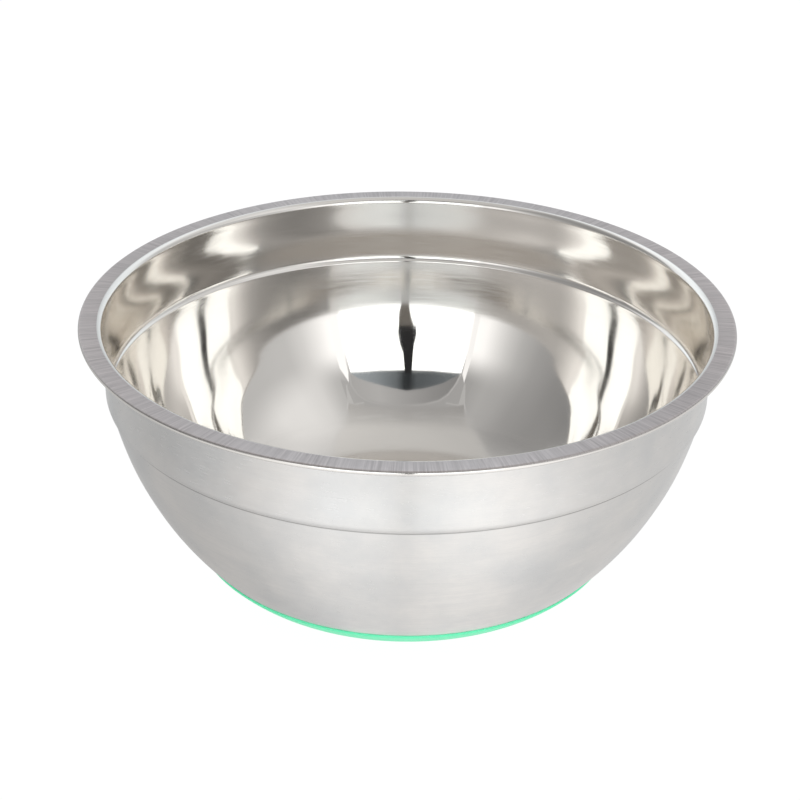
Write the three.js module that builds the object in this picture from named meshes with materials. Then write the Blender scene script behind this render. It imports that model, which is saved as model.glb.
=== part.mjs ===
// Mixing bowl: one deep-drawn stainless steel shell with a folded flat rim and a stepped band,
// standing on a moulded silicone base that is held on by an adhesive film.
// Millimetres, +Z up. The origin is the centre of the circle that the bowl stands on.
import * as THREE from 'three';

// Driving dimensions
const height = 108.5;            // standing face to the top of the rim
const rimRadius = 128;           // outer edge of the folded rim
const sheet = 0.6;               // steel thickness
const steelBottomZ = 2.4;        // underside of the steel bottom

// The round wall is one large arc. Its centre lies beyond the axis. Radii are of the outside face.
const wall = { r: -14.1, z: 102.1, radius: 133.9 };
const wallTopAngle = -10.4;      // degrees, where the wall meets the step under the band
const cornerRadius = 31;         // from the wall into the flat bottom

// The step under the band, and the band that leans out a little on its way up to the rim
const creaseRadius = 0.4;
const stepAngle = 128;           // degrees, where the crease turns into the round bottom of the band
const bandBottomRadius = 3.6;
const bandLean = -0.5;           // degrees
const mouthRadius = 1.9;         // under the rim, where the band turns outwards

// The rim is folded under itself, leaving a narrow slot that is open towards the band
const hemRadius = 0.4;
const hemLength = 4;

// Silicone base
const gap = 0.3;                 // clearance between neighbouring pieces
const lipProud = 0.85;           // how far the silicone stands out from the steel at its top edge
const lipAngle = -41.6;          // degrees on the wall's arc, the top edge of the silicone
const baseCornerRadius = 33.4;
const recessRadius = 54;         // hollow in the underside, inside the ring that the bowl stands on
const recessDepth = 0.6;
const pocketRadius = 50.3;       // shallow pocket that takes the adhesive film
const pocketFloorZ = 1.5;
const filmThickness = 0.3;

const turnSegments = 64;

const point = (r, z) => new THREE.Vector2(r, z);

// Points on an arc, from one angle to another in degrees. 0 points outwards and 90 points up.
function arc(centre, radius, from, to, steps) {
  return Array.from({ length: steps + 1 }, (_, i) => {
    const angle = THREE.MathUtils.degToRad(from + (to - from) * i / steps);
    return point(centre.r + radius * Math.cos(angle), centre.z + radius * Math.sin(angle));
  });
}

// A point at a distance and an angle in degrees from a centre
function beside(centre, distance, angle) {
  const a = THREE.MathUtils.degToRad(angle);
  return { r: centre.r + distance * Math.cos(a), z: centre.z + distance * Math.sin(a) };
}

// The corner arc that touches both a flat bottom and an arc round the wall's centre
function tangentCorner(radius, bottomZ, arcRadius) {
  const z = bottomZ + radius;
  const reach = arcRadius - radius;
  const r = wall.r + Math.sqrt(reach ** 2 - (z - wall.z) ** 2);
  return { r, z, radius, angle: THREE.MathUtils.radToDeg(Math.atan2(z - wall.z, r - wall.r)) };
}

// A solid of revolution about Z, from a profile that starts and ends on the axis
function turned(name, profile, material) {
  const outline = profile.filter((p, i) => i === 0 || p.distanceTo(profile[i - 1]) > 1e-6);
  const geometry = new THREE.LatheGeometry(outline, turnSegments);
  geometry.rotateX(Math.PI / 2);
  const mesh = new THREE.Mesh(geometry, material);
  mesh.name = name;
  return mesh;
}

const steelCorner = tangentCorner(cornerRadius, steelBottomZ, wall.radius);

// One face of the steel sheet, from the axis to the folded edge.
// Depth 0 is the outside face and depth "sheet" is the inside face.
function steelFace(depth) {
  const crease = beside(wall, wall.radius + creaseRadius, wallTopAngle);
  const bandBottom = beside(crease, creaseRadius + bandBottomRadius, stepAngle);
  const hem = { r: rimRadius - sheet - hemRadius, z: height - sheet - hemRadius };
  const mouthZ = height - sheet - mouthRadius;
  const bandTop = beside(bandBottom, bandBottomRadius, bandLean);
  const lean = Math.tan(THREE.MathUtils.degToRad(-bandLean));
  const mouth = { r: bandTop.r + (mouthZ - bandTop.z) * lean + mouthRadius, z: mouthZ };
  return [
    point(0, steelBottomZ + depth),
    ...arc(steelCorner, cornerRadius - depth, -90, steelCorner.angle, 6),
    ...arc(wall, wall.radius - depth, steelCorner.angle, wallTopAngle, 9),
    ...arc(crease, creaseRadius + depth, 180 + wallTopAngle, stepAngle, 2),
    ...arc(bandBottom, bandBottomRadius - depth, stepAngle - 180, bandLean, 3),
    ...arc(mouth, mouthRadius + depth, 180 + bandLean, 90, 3),
    ...arc(hem, hemRadius + depth, 90, -90, 4),
    point(hem.r - hemLength, hem.z - hemRadius - depth),
  ];
}

function bowlShell() {
  const profile = [...steelFace(0), ...steelFace(sheet).reverse()];
  return turned('bowl_shell', profile, new THREE.MeshStandardMaterial({
    color: 0xc9c8c4, roughness: 0.3, metalness: 1,
  }));
}

function siliconeBase() {
  const outerRadius = wall.radius + lipProud;
  const innerRadius = wall.radius + gap;
  const outerCorner = tangentCorner(baseCornerRadius, 0, outerRadius);
  const lip = beside(wall, (outerRadius + innerRadius) / 2, lipAngle);
  const lipRadius = (outerRadius - innerRadius) / 2;
  const profile = [
    point(0, recessDepth),
    point(recessRadius, recessDepth),
    point(recessRadius + recessDepth, 0),
    ...arc(outerCorner, baseCornerRadius, -90, outerCorner.angle, 6),
    ...arc(wall, outerRadius, outerCorner.angle, lipAngle, 1),
    ...arc(lip, lipRadius, lipAngle, lipAngle + 180, 4),
    ...arc(wall, innerRadius, lipAngle, steelCorner.angle, 1),
    ...arc(steelCorner, cornerRadius + gap, steelCorner.angle, -90, 6),
    point(pocketRadius, steelBottomZ - gap),
    point(pocketRadius, pocketFloorZ),
    point(0, pocketFloorZ),
  ];
  return turned('silicone_base', profile, new THREE.MeshStandardMaterial({
    color: 0x6feeb3, roughness: 0.45, metalness: 0,
  }));
}

function adhesiveFilm() {
  const bottomZ = pocketFloorZ + gap;
  const profile = [
    point(0, bottomZ),
    point(pocketRadius - gap, bottomZ),
    point(pocketRadius - gap, bottomZ + filmThickness),
    point(0, bottomZ + filmThickness),
  ];
  return turned('adhesive_film', profile, new THREE.MeshStandardMaterial({
    color: 0xe8e4d8, roughness: 0.6, metalness: 0,
  }));
}

const bowl = new THREE.Group();
bowl.add(bowlShell(), siliconeBase(), adhesiveFilm());

export default bowl;
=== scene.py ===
# Mixing bowl: a drawn steel shell, mirror polished inside and brushed outside, on a silicone base.
# Metres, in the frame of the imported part: +Z up, origin at the centre of the standing face.
import math

import bmesh
import bpy
from mathutils import Matrix, Vector


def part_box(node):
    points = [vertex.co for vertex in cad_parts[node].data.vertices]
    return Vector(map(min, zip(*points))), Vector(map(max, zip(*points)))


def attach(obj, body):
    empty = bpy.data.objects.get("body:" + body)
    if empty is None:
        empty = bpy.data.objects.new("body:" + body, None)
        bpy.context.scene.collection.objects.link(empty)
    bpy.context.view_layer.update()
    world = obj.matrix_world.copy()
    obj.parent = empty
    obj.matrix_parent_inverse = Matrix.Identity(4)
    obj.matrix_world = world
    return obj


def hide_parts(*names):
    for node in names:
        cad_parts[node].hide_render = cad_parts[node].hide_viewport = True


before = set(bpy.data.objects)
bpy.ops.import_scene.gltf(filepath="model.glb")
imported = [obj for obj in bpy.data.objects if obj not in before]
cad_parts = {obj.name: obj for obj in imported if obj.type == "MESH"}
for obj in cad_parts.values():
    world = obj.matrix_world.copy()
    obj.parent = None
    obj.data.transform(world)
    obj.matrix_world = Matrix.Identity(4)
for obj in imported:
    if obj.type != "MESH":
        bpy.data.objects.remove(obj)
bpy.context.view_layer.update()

shell_low, shell_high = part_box("bowl_shell")
base_low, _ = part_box("silicone_base")
rim_radius = shell_high[0]
height = shell_high[2]
steel_bottom = shell_low[2]
floor = base_low[2]

# The sheet, as in the CAD model
sheet = 0.0006
wall_centre = Vector((-0.0141, 0.1021))
wall_radius = 0.1339
wall_top_angle = -10.4
corner_radius = 0.031
crease_radius = 0.0004
step_angle = 128.0
band_bottom_radius = 0.0036
band_lean = -0.5
mouth_radius = 0.0019
hem_radius = 0.0004
hem_length = 0.004
# Depths below the top of the rim: how far its ground finish goes down the rounded mouth, where the
# grinding starts to miss the rounded edges and where it misses them wholly
ground_reach = mouth_radius * 0.06
missed_from = 0.00004
missed_to = 0.0003

# Heights at which the finish of the inside changes
dull_until = 0.013
mirror_from = 0.020
mirror_until = 0.030
brushed_from = 0.060
dullest_from = 0.080

# The silicone base
lip_proud = 0.00085
lip_angle = -41.6
base_corner_radius = 0.0334
recess_radius = 0.054
recess_depth = 0.0006
skin_gap = 0.00002

# Slow waves that spinning and polishing left down the wall, measured from the step
wave_height = 0.00004
wave_length = 0.026
wave_crest = 0.024
wave_start = 0.006
wave_reach = 0.055
wave_fade = 0.020
# How far the middle of the band stands outwards. It is slightly hollow
band_bow = -0.0006

# Segments round every turned body
turn_steps = 300


# ---- Profiles -------------------------------------------------------------------------------

def on_circle(centre, radius, degrees):
    angle = math.radians(degrees)
    return Vector((centre[0] + radius * math.cos(angle), centre[1] + radius * math.sin(angle)))


def arc(centre, radius, start, end, steps):
    return [on_circle(centre, radius, start + (end - start) * i / steps) for i in range(steps + 1)]


def tangent_corner(radius, bottom, arc_radius):
    """Centre and last angle of the corner arc that touches a flat bottom and an arc round wall_centre."""
    z = bottom + radius
    rise = z - wall_centre[1]
    run = math.sqrt((arc_radius - radius) ** 2 - rise ** 2)
    return Vector((wall_centre[0] + run, z)), math.degrees(math.atan2(rise, run))


def line(start, end, steps):
    return [start.lerp(end, i / steps) for i in range(steps + 1)]


corner_centre, corner_angle = tangent_corner(corner_radius, steel_bottom, wall_radius)


def waved(centre, radius, start, end, steps):
    """The wall's arc with slow waves below the step, which fade out down the wall."""
    points = []
    for i in range(steps + 1):
        part = i / steps
        degrees = start + (end - start) * part
        below = wall_radius * math.radians(abs(end - degrees))
        fade = min(1.0, below / wave_start, max(0.0, (wave_reach - below) / wave_fade))
        wave = wave_height * math.cos(2 * math.pi * (below - wave_crest) / wave_length)
        points.append(on_circle(centre, radius + fade * wave, degrees))
    return points


def bowed(start, end, bow, steps):
    """A line whose middle moves outwards by bow and whose direction stays at both ends."""
    along = (end - start).normalized()
    outwards = Vector((along[1], -along[0]))
    points = []
    for i in range(steps + 1):
        part = i / steps
        points.append(start.lerp(end, part) + outwards * bow * math.sin(math.pi * part) ** 2)
    return points


def steel_face(depth):
    """One face of the sheet, from the axis to the folded edge. Depth 0 is the outside face.

    The last value of each stretch is its number of steps.
    """
    crease = on_circle(wall_centre, wall_radius + crease_radius, wall_top_angle)
    band_bottom = on_circle(crease, crease_radius + band_bottom_radius, step_angle)
    band_top = on_circle(band_bottom, band_bottom_radius, band_lean)
    mouth_z = height - sheet - mouth_radius
    mouth_r = band_top[0] + (mouth_z - band_top[1]) * math.tan(math.radians(-band_lean)) + mouth_radius
    hem = Vector((rim_radius - sheet - hem_radius, height - sheet - hem_radius))
    mouth = Vector((mouth_r, mouth_z))
    bottom_edge = Vector((corner_centre[0], steel_bottom + depth))
    points = line(Vector((0.0, steel_bottom + depth)), bottom_edge, 4)
    points += arc(corner_centre, corner_radius - depth, -90, corner_angle, 24)
    points += waved(wall_centre, wall_radius - depth, corner_angle, wall_top_angle, 72)
    points += arc(crease, crease_radius + depth, 180 + wall_top_angle, step_angle, 8)
    points += arc(band_bottom, band_bottom_radius - depth, step_angle - 180, band_lean, 12)
    points += bowed(points[-1], on_circle(mouth, mouth_radius + depth, 180 + band_lean), band_bow, 16)
    points += arc(mouth, mouth_radius + depth, 180 + band_lean, 90, 10)
    points += line(points[-1], on_circle(hem, hem_radius + depth, 90), 3)
    points += arc(hem, hem_radius + depth, 90, -90, 12)
    points.append(Vector((hem[0] - hem_length, hem[1] - hem_radius - depth)))
    return points


def without_repeats(points):
    """Drops each point that repeats the one before it."""
    kept = [points[0]]
    for p in points[1:]:
        if (p - kept[-1]).length > 1e-7:
            kept.append(p)
    return kept


# ---- Meshes ---------------------------------------------------------------------------------

def turn(name, profile, slot_at=None):
    """A body of revolution from a profile that starts and ends on the axis.

    slot_at gives the material slot of the stretch that starts at a point of the profile.
    """
    mesh = bmesh.new()
    rings = []
    for r, z in profile:
        if r < 1e-7:
            rings.append([mesh.verts.new((0, 0, z))])
            continue
        ring = []
        for i in range(turn_steps):
            a = 2 * math.pi * i / turn_steps
            ring.append(mesh.verts.new((r * math.cos(a), r * math.sin(a), z)))
        rings.append(ring)
    for k in range(len(rings) - 1):
        lower, upper = rings[k], rings[k + 1]
        index = slot_at(k) if slot_at else 0
        for i in range(turn_steps):
            j = (i + 1) % turn_steps
            if len(lower) == 1:
                face = mesh.faces.new((lower[0], upper[j], upper[i]))
            elif len(upper) == 1:
                face = mesh.faces.new((lower[i], lower[j], upper[0]))
            else:
                face = mesh.faces.new((lower[i], lower[j], upper[j], upper[i]))
            face.smooth = True
            face.material_index = index
    data = bpy.data.meshes.new(name)
    mesh.to_mesh(data)
    mesh.free()
    piece = bpy.data.objects.new(name, data)
    bpy.context.scene.collection.objects.link(piece)
    return piece


outside = without_repeats(steel_face(0.0))
crease_z = on_circle(wall_centre, wall_radius, wall_top_angle)[1]
inside = without_repeats(steel_face(sheet))
rim_start = next(i for i, p in enumerate(inside) if p[1] > height - ground_reach)
rim_end = max(i for i, p in enumerate(inside) if p[1] > height - sheet)


def shell_slot(k):
    """0 brushed outside, 1 polished inside and under the rim, 2 the ground top of the rim."""
    if k < len(outside) - 1:
        return 0
    place = len(outside) + len(inside) - 2 - k
    return 2 if rim_start <= place < rim_end else 1


shell = turn("steel_shell", outside + inside[::-1], shell_slot)

outer_radius = wall_radius + lip_proud
inner_radius = wall_radius + skin_gap
outer_corner, outer_angle = tangent_corner(base_corner_radius, floor, outer_radius)
thickness = outer_radius - inner_radius
lip_start = lip_angle - math.degrees(thickness / 2 / wall_radius)
lip = on_circle(wall_centre, inner_radius, lip_start)
base_profile = without_repeats(
    line(Vector((0, floor + recess_depth)), Vector((recess_radius, floor + recess_depth)), 8)
    + [Vector((recess_radius + recess_depth, floor))]
    + arc(outer_corner, base_corner_radius, -90, outer_angle, 24)
    + arc(wall_centre, outer_radius, outer_angle, lip_start, 4)
    + arc(lip, thickness, lip_start, lip_start + 90, 8)
    + arc(wall_centre, inner_radius, lip_start, corner_angle, 4)
    + arc(corner_centre, corner_radius + skin_gap, corner_angle, -90, 24)
    + [Vector((0, steel_bottom - skin_gap))]
)
foot = turn("silicone_foot", base_profile)


# ---- Materials ------------------------------------------------------------------------------

def node(tree, kind, sockets=None, **settings):
    """A new shader node. A socket's value is a number, a colour or the output that feeds it."""
    made = tree.nodes.new(kind)
    for key, value in settings.items():
        setattr(made, key, value)
    for key, value in (sockets or {}).items():
        if isinstance(value, bpy.types.NodeSocket):
            tree.links.new(value, made.inputs[key])
        else:
            made.inputs[key].default_value = value
    return made


def principled(name, **sockets):
    """A material with the given constant sockets on its shader."""
    material = bpy.data.materials.new(name)
    material.use_nodes = True
    shader = material.node_tree.nodes["Principled BSDF"]
    for key, value in sockets.items():
        shader.inputs[key.replace("_", " ")].default_value = value
    return material, material.node_tree, shader


def maths(tree, operation, first, second):
    return node(tree, "ShaderNodeMath", {0: first, 1: second}, operation=operation).outputs[0]


def object_height(tree):
    place = node(tree, "ShaderNodeTexCoord").outputs["Object"]
    return node(tree, "ShaderNodeSeparateXYZ", {0: place}).outputs["Z"]


def noise_at(tree, place, scale, detail, rough):
    sockets = {"Vector": place, "Scale": scale, "Detail": detail, "Roughness": rough}
    return node(tree, "ShaderNodeTexNoise", sockets).outputs["Fac"]


def plain_noise(tree, per_metre, detail=2.0, rough=0.5):
    place = node(tree, "ShaderNodeTexCoord").outputs["Object"]
    return noise_at(tree, place, per_metre, detail, rough)


def turned_noise(tree, around, along, detail=2.0, rough=0.5, offset=0.0):
    """Noise on a turned body. around is features per radian, along is features per metre of profile."""
    place = node(tree, "ShaderNodeTexCoord").outputs["Object"]
    flat = node(tree, "ShaderNodeVectorMath", {0: place, 1: (1, 1, 0)}, operation="MULTIPLY")
    radius = node(tree, "ShaderNodeVectorMath", {0: flat.outputs[0]}, operation="LENGTH")
    unit = node(tree, "ShaderNodeVectorMath", {0: flat.outputs[0]}, operation="NORMALIZE")
    circle = node(tree, "ShaderNodeVectorMath", {0: unit.outputs[0], "Scale": around}, operation="SCALE")
    travel = maths(tree, "ADD", radius.outputs["Value"], object_height(tree))
    scaled = node(tree, "ShaderNodeMath", {0: travel, 1: along, 2: offset}, operation="MULTIPLY_ADD")
    climb = node(tree, "ShaderNodeCombineXYZ", {"Z": scaled.outputs[0]})
    spot = node(tree, "ShaderNodeVectorMath", {0: circle.outputs[0], 1: climb.outputs[0]}, operation="ADD")
    return noise_at(tree, spot.outputs[0], 1.0, detail, rough)


def spread(tree, value, low, high, start=0.0, end=1.0, smooth=False):
    """The value carried from start..end to low..high."""
    kind = "SMOOTHSTEP" if smooth else "LINEAR"
    made = node(
        tree, "ShaderNodeMapRange",
        {"Value": value, "From Min": start, "From Max": end, "To Min": low, "To Max": high},
        interpolation_type=kind,
    )
    return made.outputs["Result"]


def blend_colours(tree, factor, first, second):
    made = node(tree, "ShaderNodeMix", {0: factor}, data_type="RGBA")
    for index, colour in ((6, first), (7, second)):
        if isinstance(colour, bpy.types.NodeSocket):
            tree.links.new(colour, made.inputs[index])
        else:
            made.inputs[index].default_value = (*colour, 1)
    return made.outputs[2]


def bump(tree, height_value, depth, under=None):
    """Relief of the given depth in metres."""
    sockets = {"Height": height_value, "Distance": depth, "Strength": 1.0}
    if under is not None:
        sockets["Normal"] = under
    return node(tree, "ShaderNodeBump", sockets).outputs[0]


def round_tangent(tree):
    return node(tree, "ShaderNodeTangent", direction_type="RADIAL", axis="Z").outputs[0]


def brushed_outside():
    """Satin steel with fine lines round the bowl, which smear a reflection up and down but not sideways."""
    material, tree, shader = principled(
        "brushed_outside", Metallic=1.0, Anisotropic=0.96, Anisotropic_Rotation=0.25
    )
    lines = turned_noise(tree, 24, 2300, detail=3, rough=0.6)
    streaks = turned_noise(tree, 3, 420, detail=3, offset=7.0)
    clouds = plain_noise(tree, 24, detail=5, rough=0.6)
    cloud_cover = spread(tree, clouds, 0, 1, 0.38, 0.62)
    tone = blend_colours(tree, cloud_cover, (0.70, 0.697, 0.692), (0.825, 0.80, 0.772))
    lined = blend_colours(tree, spread(tree, lines, 0.35, 0, 0.3, 0.6), tone, (0.68, 0.672, 0.662))
    colour = blend_colours(tree, spread(tree, streaks, 0, 0.35, 0.4, 0.75), lined, (0.70, 0.692, 0.68))
    # A thin dark line of painted shade along the crease: the steel's colour is darkened where the concave
    # crease lies in shadow
    off_crease = maths(tree, "ABSOLUTE", maths(tree, "SUBTRACT", object_height(tree), crease_z), 0.0)
    crease_shade = spread(tree, off_crease, 0.62, 0.0, 0.00012, 0.00050, smooth=True)
    tree.links.new(blend_colours(tree, crease_shade, colour, (0.24, 0.235, 0.23)), shader.inputs["Base Color"])
    rough = maths(tree, "ADD", spread(tree, lines, 0.27, 0.36, 0.3, 0.7), spread(tree, clouds, -0.03, 0.03))
    tree.links.new(rough, shader.inputs["Roughness"])
    fine_relief = bump(tree, lines, 0.000006)
    broad_relief = bump(tree, plain_noise(tree, 34), 0.00035, fine_relief)
    dents = bump(tree, plain_noise(tree, 120), 0.00004, broad_relief)
    tree.links.new(dents, shader.inputs["Normal"])
    tree.links.new(round_tangent(tree), shader.inputs["Tangent"])
    return material


def polished_inside():
    """Polished like a mirror low on the wall.

    The bottom is duller, and the upper wall is finely brushed and gets duller towards the step.
    """
    material, tree, shader = principled(
        "polished_inside", Metallic=1.0, Anisotropic=0.95, Anisotropic_Rotation=0.25
    )
    colour = blend_colours(tree, plain_noise(tree, 14), (0.766, 0.742, 0.711), (0.786, 0.761, 0.730))
    tree.links.new(colour, shader.inputs["Base Color"])
    z = object_height(tree)
    brushed = spread(tree, z, 0.0, 1.0, mirror_until, brushed_from, smooth=True)
    near_step = spread(tree, z, 0.0, 0.05, brushed_from, dullest_from, smooth=True)
    in_bottom = spread(tree, z, 0.12, 0.0, dull_until, mirror_from, smooth=True)
    duller = maths(tree, "ADD", near_step, in_bottom)
    polish = maths(tree, "ADD", spread(tree, brushed, 0.03, 0.055), duller)
    lines = turned_noise(tree, 8, 1700, detail=3)
    rough = maths(tree, "MULTIPLY", polish, spread(tree, lines, 0.7, 1.3, 0.3, 0.7))
    tree.links.new(rough, shader.inputs["Roughness"])
    relief = bump(tree, maths(tree, "MULTIPLY", lines, brushed), 0.000002)
    tree.links.new(relief, shader.inputs["Normal"])
    tree.links.new(round_tangent(tree), shader.inputs["Tangent"])
    return material


def ground_rim():
    """The rim's flat top, ground across its width. The grinding only skims the rounded edges beside it."""
    material, tree, shader = principled("ground_rim", Metallic=1.0, Anisotropic=0.8)
    grain = turned_noise(tree, 170, 40, detail=4, rough=0.7)
    patches = turned_noise(tree, 9, 60, detail=2)
    streaks = spread(tree, grain, 0, 1, 0.35, 0.65)
    streaked = blend_colours(tree, streaks, (0.36, 0.325, 0.322), (0.62, 0.57, 0.565))
    cover = spread(tree, patches, 0, 0.6, 0.3, 0.7)
    ground_colour = blend_colours(tree, cover, streaked, (0.50, 0.465, 0.46))
    missed = spread(tree, object_height(tree), 1, 0, height - missed_to, height - missed_from)
    steel_colour = blend_colours(tree, missed, ground_colour, (0.46, 0.435, 0.425))
    tree.links.new(steel_colour, shader.inputs["Base Color"])
    # The edges that the grinding misses stay smoother
    ground_rough = spread(tree, grain, 0.38, 0.5, 0.3, 0.7)
    rough = maths(tree, "SUBTRACT", ground_rough, maths(tree, "MULTIPLY", missed, 0.16))
    tree.links.new(rough, shader.inputs["Roughness"])
    tree.links.new(bump(tree, grain, 0.00003), shader.inputs["Normal"])
    tree.links.new(round_tangent(tree), shader.inputs["Tangent"])
    return material


def mint_silicone():
    material, tree, shader = principled("mint_silicone", Sheen_Weight=0.15, Sheen_Roughness=0.5)
    shader.inputs["Specular IOR Level"].default_value = 0.45
    speckle = plain_noise(tree, 2500, detail=2)
    clouds = plain_noise(tree, 40, detail=2)
    colour = blend_colours(tree, clouds, (0.115, 0.80, 0.425), (0.135, 0.84, 0.46))
    tree.links.new(colour, shader.inputs["Base Color"])
    tree.links.new(spread(tree, speckle, 0.42, 0.56), shader.inputs["Roughness"])
    tree.links.new(bump(tree, speckle, 0.00003), shader.inputs["Normal"])
    return material


def cured_adhesive():
    material, tree, shader = principled("cured_adhesive")
    clouds = plain_noise(tree, 120, detail=4)
    colour = blend_colours(tree, clouds, (0.80, 0.77, 0.66), (0.90, 0.88, 0.82))
    tree.links.new(colour, shader.inputs["Base Color"])
    tree.links.new(spread(tree, clouds, 0.35, 0.6), shader.inputs["Roughness"])
    tree.links.new(bump(tree, clouds, 0.0001), shader.inputs["Normal"])
    return material


for finish in (brushed_outside(), polished_inside(), ground_rim()):
    shell.data.materials.append(finish)
foot.data.materials.append(mint_silicone())

for piece, cad_node, slot in (
    (shell, "bowl_shell", "stainless_steel"),
    (foot, "silicone_base", "green_silicone"),
):
    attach(piece, "root")
    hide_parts(cad_node)

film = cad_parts["adhesive_film"]
film.data.materials.clear()
film.data.materials.append(cured_adhesive())


# ---- Camera ---------------------------------------------------------------------------------

def level_look(eye, target, roll):
    """Rotation of a camera at eye that looks at target, turned by roll degrees about its view axis."""
    back = (eye - target).normalized()
    right = Vector((0, 0, 1)).cross(back).normalized()
    up = back.cross(right)
    level = Matrix((right, up, back)).transposed()
    return level @ Matrix.Rotation(math.radians(roll), 3, "Z")


camera_lens = 80.5
camera_distance = 0.704
camera_elevation = math.radians(24.85)
camera_roll = 0.745
rim_centre = Vector((0, 0, height))
eye = rim_centre + camera_distance * Vector((0, -math.cos(camera_elevation), math.sin(camera_elevation)))
target = Vector((-0.0025, 0, 0.068))

camera_data = bpy.data.cameras.new("camera")
camera_data.sensor_width = 36.0
camera_data.lens = camera_lens
camera = bpy.data.objects.new("camera", camera_data)
bpy.context.scene.collection.objects.link(camera)
camera.matrix_world = Matrix.Translation(eye) @ level_look(eye, target, camera_roll).to_4x4()
bpy.context.scene.camera = camera


# ---- Light ----------------------------------------------------------------------------------

# The level that a full white of a ramp stands for
brightest = 2.2


def level_ramp(tree, value, low, high, levels):
    """A grey for each value between low and high, from pairs of a value and its level."""
    made = node(tree, "ShaderNodeValToRGB", {"Fac": spread(tree, value, 0, 1, low, high)})
    stops = made.color_ramp.elements
    for spot, _ in levels[1:-1]:
        stops.new((spot - low) / (high - low))
    for stop, (spot, level) in zip(stops, levels):
        grey = level / brightest
        stop.position = (spot - low) / (high - low)
        stop.color = (grey, grey, grey, 1)
    return made.outputs["Color"]


def card(name, outline, levels, tint=(1, 1, 1), away=2.0, overhead=False, fade=None):
    """A flat glowing card that only reflections see. Its levels follow X.

    The outline is in X and Z at a distance away on the camera's side of the bowl, or overhead in X and Y at
    that height. A fade is a share of the glow, the second coordinate where only that share is left, and the
    one where the glow is whole.
    """
    material = bpy.data.materials.new(name)
    material.use_nodes = True
    tree = material.node_tree
    tree.nodes.clear()
    place = node(tree, "ShaderNodeTexCoord").outputs["Object"]
    across = node(tree, "ShaderNodeSeparateXYZ", {0: place})
    low, high = levels[0][0], levels[-1][0]
    grey = level_ramp(tree, across.outputs["X"], low, high, levels)
    colour = node(tree, "ShaderNodeVectorMath", {0: grey, 1: tint}, operation="MULTIPLY").outputs[0]
    if fade:
        share, start, end = fade
        part = spread(tree, across.outputs["Y"], share, 1, start, end, smooth=True)
        faded = node(tree, "ShaderNodeVectorMath", {0: colour, "Scale": part}, operation="SCALE")
        colour = faded.outputs[0]
    glow = node(tree, "ShaderNodeEmission", {"Color": colour, "Strength": brightest})
    node(tree, "ShaderNodeOutputMaterial", {"Surface": glow.outputs[0]})
    mesh = bpy.data.meshes.new(name)
    mesh.from_pydata([(x, y, 0) for x, y in outline], [], [range(len(outline))])
    mesh.materials.append(material)
    piece = bpy.data.objects.new(name, mesh)
    bpy.context.scene.collection.objects.link(piece)
    if overhead:
        piece.matrix_world = Matrix.Translation((0, 0, away))
    else:
        piece.matrix_world = Matrix.Translation((0, -away, 0)) @ Matrix.Rotation(math.pi / 2, 4, "X")
    piece.visible_camera = False
    piece.visible_shadow = False


def even(level):
    """The same level all over a card."""
    return ((-1.0, level), (1.0, level))


def ribbon(points, width):
    """The outline of a thin strip along a path."""
    left, right = [], []
    for i, point in enumerate(points):
        before = Vector(points[max(i - 1, 0)])
        after = Vector(points[min(i + 1, len(points) - 1)])
        along = (after - before).normalized()
        side = Vector((-along[1], along[0])) * width / 2
        left.append(Vector(point) + side)
        right.append(Vector(point) - side)
    return left + right[::-1]


# A light tent stands round the bowl. The camera looks in through its arch, in front of a bright panel.
cool = (0.97, 1.0, 1.0)
dusk = (0.90, 1.0, 1.07)
seam = 0.035

panel_top = [(1.16, 1.76), (0.50, 1.66), (0.0, 1.63), (-0.50, 1.65), (-1.12, 1.74)]
gap_top = [
    (1.02, 1.87), (0.75, 1.92), (0.40, 2.00), (0.0, 2.08), (-0.40, 2.02), (-0.75, 1.92), (-1.05, 1.78),
]
gap_levels = (
    (-1.1, 0.22), (-0.6, 0.16), (-0.2, 0.12), (-0.05, 0.04), (0.05, 0.05), (0.2, 0.18), (0.6, 0.34),
    (1.2, 0.48),
)
arch = [
    (1.18, 1.76), (1.21, 2.04), (1.12, 2.26), (0.95, 2.41), (0.75, 2.47), (0.40, 2.50), (0.0, 2.49),
    (-0.40, 2.47), (-0.75, 2.38), (-0.93, 2.22), (-1.05, 1.96), (-1.12, 1.72),
]
arch_levels = ((-1.2, 0.28), (-0.6, 0.34), (0.0, 0.44), (0.6, 0.55), (1.2, 0.50))
card("front_panel", [(-1.12, 0.0), (1.16, 0.0)] + panel_top, even(1.95), cool)
card("gap_over_panel", panel_top[::-1] + gap_top, gap_levels, dusk, away=1.99)
card("arch_back", gap_top[::-1] + arch, arch_levels, away=2.01)
card("arch_edge", ribbon(arch, seam), even(0.56), away=1.97)

wall_left = [(-1.50, 2.00), (-1.27, 1.98)]
wall_right = [(1.33, 2.00), (1.49, 2.00), (1.49, 2.75), (-1.50, 2.75)]
wall_levels = ((-1.5, 0.46), (0.0, 0.43), (1.5, 0.52))
card("front_wall", wall_left + arch[::-1] + wall_right, wall_levels, away=2.02)

border_right = [(1.21, 0.0), (1.41, 0.0), (1.40, 1.70), (1.27, 2.00), (1.21, 1.76)]
border_left = [(-1.26, 0.0), (-1.15, 0.0), (-1.15, 1.76), (-1.26, 1.98)]
corner_right = [(1.33, 2.05), (1.49, 2.75), (1.30, 2.62), (1.00, 2.50)]
corner_left = [(-1.27, 1.98), (-1.50, 2.71), (-1.30, 2.60), (-0.93, 2.46)]
card("border_right", border_right, even(1.35))
card("border_left", border_left, even(1.22))
card("corner_right", ribbon(corner_right, seam), even(0.62), away=1.97)
card("corner_left", ribbon(corner_left, seam), even(0.56), away=1.97)

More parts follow.
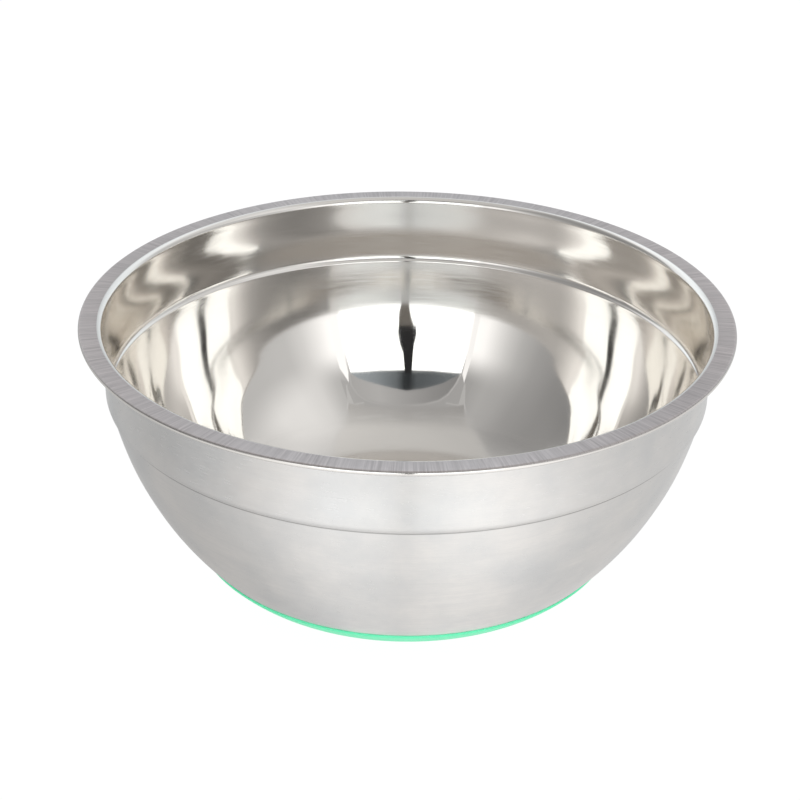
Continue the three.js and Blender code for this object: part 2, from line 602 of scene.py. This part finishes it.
roof_right = [(1.34, -1.80), (1.10, -0.67), (0.60, 0.76), (0.45, 1.20)]
roof_left = [(-0.62, 1.20), (-0.75, 0.64), (-1.18, -0.64), (-1.34, -1.80)]
roof_levels = ((-1.3, 0.60), (-0.6, 0.62), (-0.2, 0.66), (0.3, 0.70), (0.8, 0.76), (1.3, 0.80))
roof_tint = (1.01, 1.0, 0.985)
roof_fade = (0.66, -1.80, -0.75)
card(
    "tent_roof", roof_right + roof_left, roof_levels, roof_tint,
    away=2.40, overhead=True, fade=roof_fade,
)
card("roof_seam_right", ribbon(roof_right, 0.03), even(0.70), away=2.38, overhead=True)
card("roof_seam_left", ribbon(roof_left, 0.03), even(0.62), away=2.38, overhead=True)

stand_foot = [
    (0.02, 0.0), (0.07, 0.0), (0.08, 0.45), (0.12, 0.62), (0.13, 0.86), (-0.10, 0.86), (-0.05, 0.70),
    (-0.02, 0.50),
]
camera_body = [
    (-0.13, 0.86), (0.13, 0.86), (0.14, 0.97), (0.108, 1.07), (0.06, 1.20), (0.03, 1.62), (-0.09, 1.62),
    (-0.10, 1.20), (-0.11, 1.07), (-0.145, 0.97),
]
card("stand_foot", stand_foot, even(0.17), (1.08, 1.0, 0.90), away=1.90)
card("camera_body", camera_body, even(0.03), (1.0, 1.0, 1.05), away=1.90)

# The rest of the light comes from the world. Its levels go by direction in degrees round the bowl, where 0
# is towards the camera and 90 is to the right: near the horizon, above it, and from below.
low_walls = (
    (-180, 0.72), (-172, 0.82), (-158, 1.10), (-140, 1.25), (-121, 1.02), (-117, 0.45), (-105, 0.34),
    (-90, 0.29), (-75, 0.33), (-62, 0.43), (-53, 0.57), (-47, 0.76), (-42, 0.98), (-36, 1.30),
    (-28, 1.40), (28, 1.50), (36, 1.35), (42, 1.08), (48, 0.85), (56, 0.68), (75, 0.63), (95, 0.61),
    (112, 0.64), (122, 0.80), (127, 0.98), (140, 1.10), (158, 1.00), (172, 0.86), (180, 0.72),
)
high_walls = (
    (-180, 0.85), (-170, 1.20), (-160, 1.30), (-140, 1.20), (-124, 1.05), (-117, 0.60), (-108, 0.42),
    (-92, 0.34), (-78, 0.34), (-62, 0.40), (-53, 0.48), (-43, 0.52), (-32, 0.44), (0, 0.38), (16, 0.42),
    (28, 0.50), (39, 0.64), (48, 0.86), (60, 0.96), (75, 0.96), (90, 0.83), (112, 0.76), (122, 0.90),
    (135, 1.10), (160, 1.12), (172, 1.05), (180, 0.85),
)
ground_light = (
    (-180, 0.60), (-165, 0.57), (-150, 0.55), (-140, 0.53), (-132, 0.54), (-127, 0.60), (-122, 0.67),
    (-112, 0.62), (-95, 0.62), (-84, 0.76), (-70, 0.83), (-56, 0.98), (-42, 1.11), (-25, 1.17),
    (-10, 1.13), (0, 1.01), (12, 1.14), (30, 1.22), (48, 1.22), (58, 1.12), (68, 0.98), (85, 0.86),
    (110, 0.79), (150, 0.74), (175, 0.72), (180, 0.60),
)
# The ceiling's levels go by the share of the direction that points to the right
ceiling = (
    (-1.0, 0.37), (-0.50, 0.40), (-0.35, 0.45), (-0.23, 0.53), (-0.12, 0.60), (0.0, 0.65), (0.2, 0.72),
    (0.35, 0.80), (0.5, 0.86), (1.0, 0.92),
)
# The level straight down, and the cool tint of the light from behind
nadir_level = 0.80
rear_tint = (0.94, 1.0, 1.04)

world = bpy.data.worlds.new("studio")
world.use_nodes = True
sky = world.node_tree
direction = node(sky, "ShaderNodeTexCoord").outputs["Generated"]
towards = node(sky, "ShaderNodeSeparateXYZ", {0: direction})
right, back, up = towards.outputs["X"], towards.outputs["Y"], towards.outputs["Z"]
heading = maths(sky, "ARCTAN2", right, maths(sky, "MULTIPLY", back, -1.0))
degrees = maths(sky, "MULTIPLY", heading, 180 / math.pi)
low_glow = level_ramp(sky, degrees, -180, 180, low_walls)
high_glow = level_ramp(sky, degrees, -180, 180, high_walls)
floor_glow = level_ramp(sky, degrees, -180, 180, ground_light)
ceiling_glow = level_ramp(sky, right, -1, 1, ceiling)
wall_glow = blend_colours(sky, spread(sky, up, 0, 1, 0.42, 0.62, smooth=True), low_glow, high_glow)
upper = blend_colours(sky, spread(sky, up, 0, 1, 0.72, 0.92, smooth=True), wall_glow, ceiling_glow)
nadir = (nadir_level / brightest,) * 3
lower = blend_colours(sky, spread(sky, up, 0, 1, -0.85, -1.0, smooth=True), floor_glow, nadir)
all_round = blend_colours(sky, spread(sky, up, 0, 1, -0.06, 0.06, smooth=True), lower, upper)
from_behind = spread(sky, back, 0, 1, 0.2, 0.8, smooth=True)
from_above = spread(sky, up, 0, 1, -0.1, 0.1)
coolness = maths(sky, "MULTIPLY", from_behind, from_above)
tint = blend_colours(sky, coolness, (1.0, 1.0, 1.0), rear_tint)
tinted_sky = node(sky, "ShaderNodeVectorMath", {0: all_round, 1: tint}, operation="MULTIPLY")
sky.links.new(tinted_sky.outputs[0], sky.nodes["Background"].inputs["Color"])
sky.nodes["Background"].inputs["Strength"].default_value = brightest
bpy.context.scene.world = world


def backdrop():
    """A white floor that sweeps up all round. Only the camera sees it, so it doesn't light the bowl."""
    reach, sweep, top = 3.0, 1.0, 3.0
    profile = [Vector((0, 0)), Vector((reach, 0))]
    profile += arc(Vector((reach, sweep)), sweep, -90, 0, 12)
    profile += [Vector((reach + sweep, top)), Vector((0, top))]
    piece = turn("backdrop", without_repeats(profile))
    material, _, shader = principled("pale_floor", Roughness=0.7)
    shader.inputs["Base Color"].default_value = (0.05, 0.05, 0.05, 1)
    shader.inputs["Specular IOR Level"].default_value = 0.0
    shader.inputs["Emission Color"].default_value = (1, 1, 1, 1)
    shader.inputs["Emission Strength"].default_value = 0.98
    piece.data.materials.append(material)
    piece.visible_glossy = False
    piece.visible_diffuse = False
    piece.visible_transmission = False
    piece.visible_shadow = False


backdrop()

cycles = bpy.context.scene.cycles
cycles.max_bounces = 24
cycles.glossy_bounces = 20
bpy.context.scene.view_settings.view_transform = "Standard"
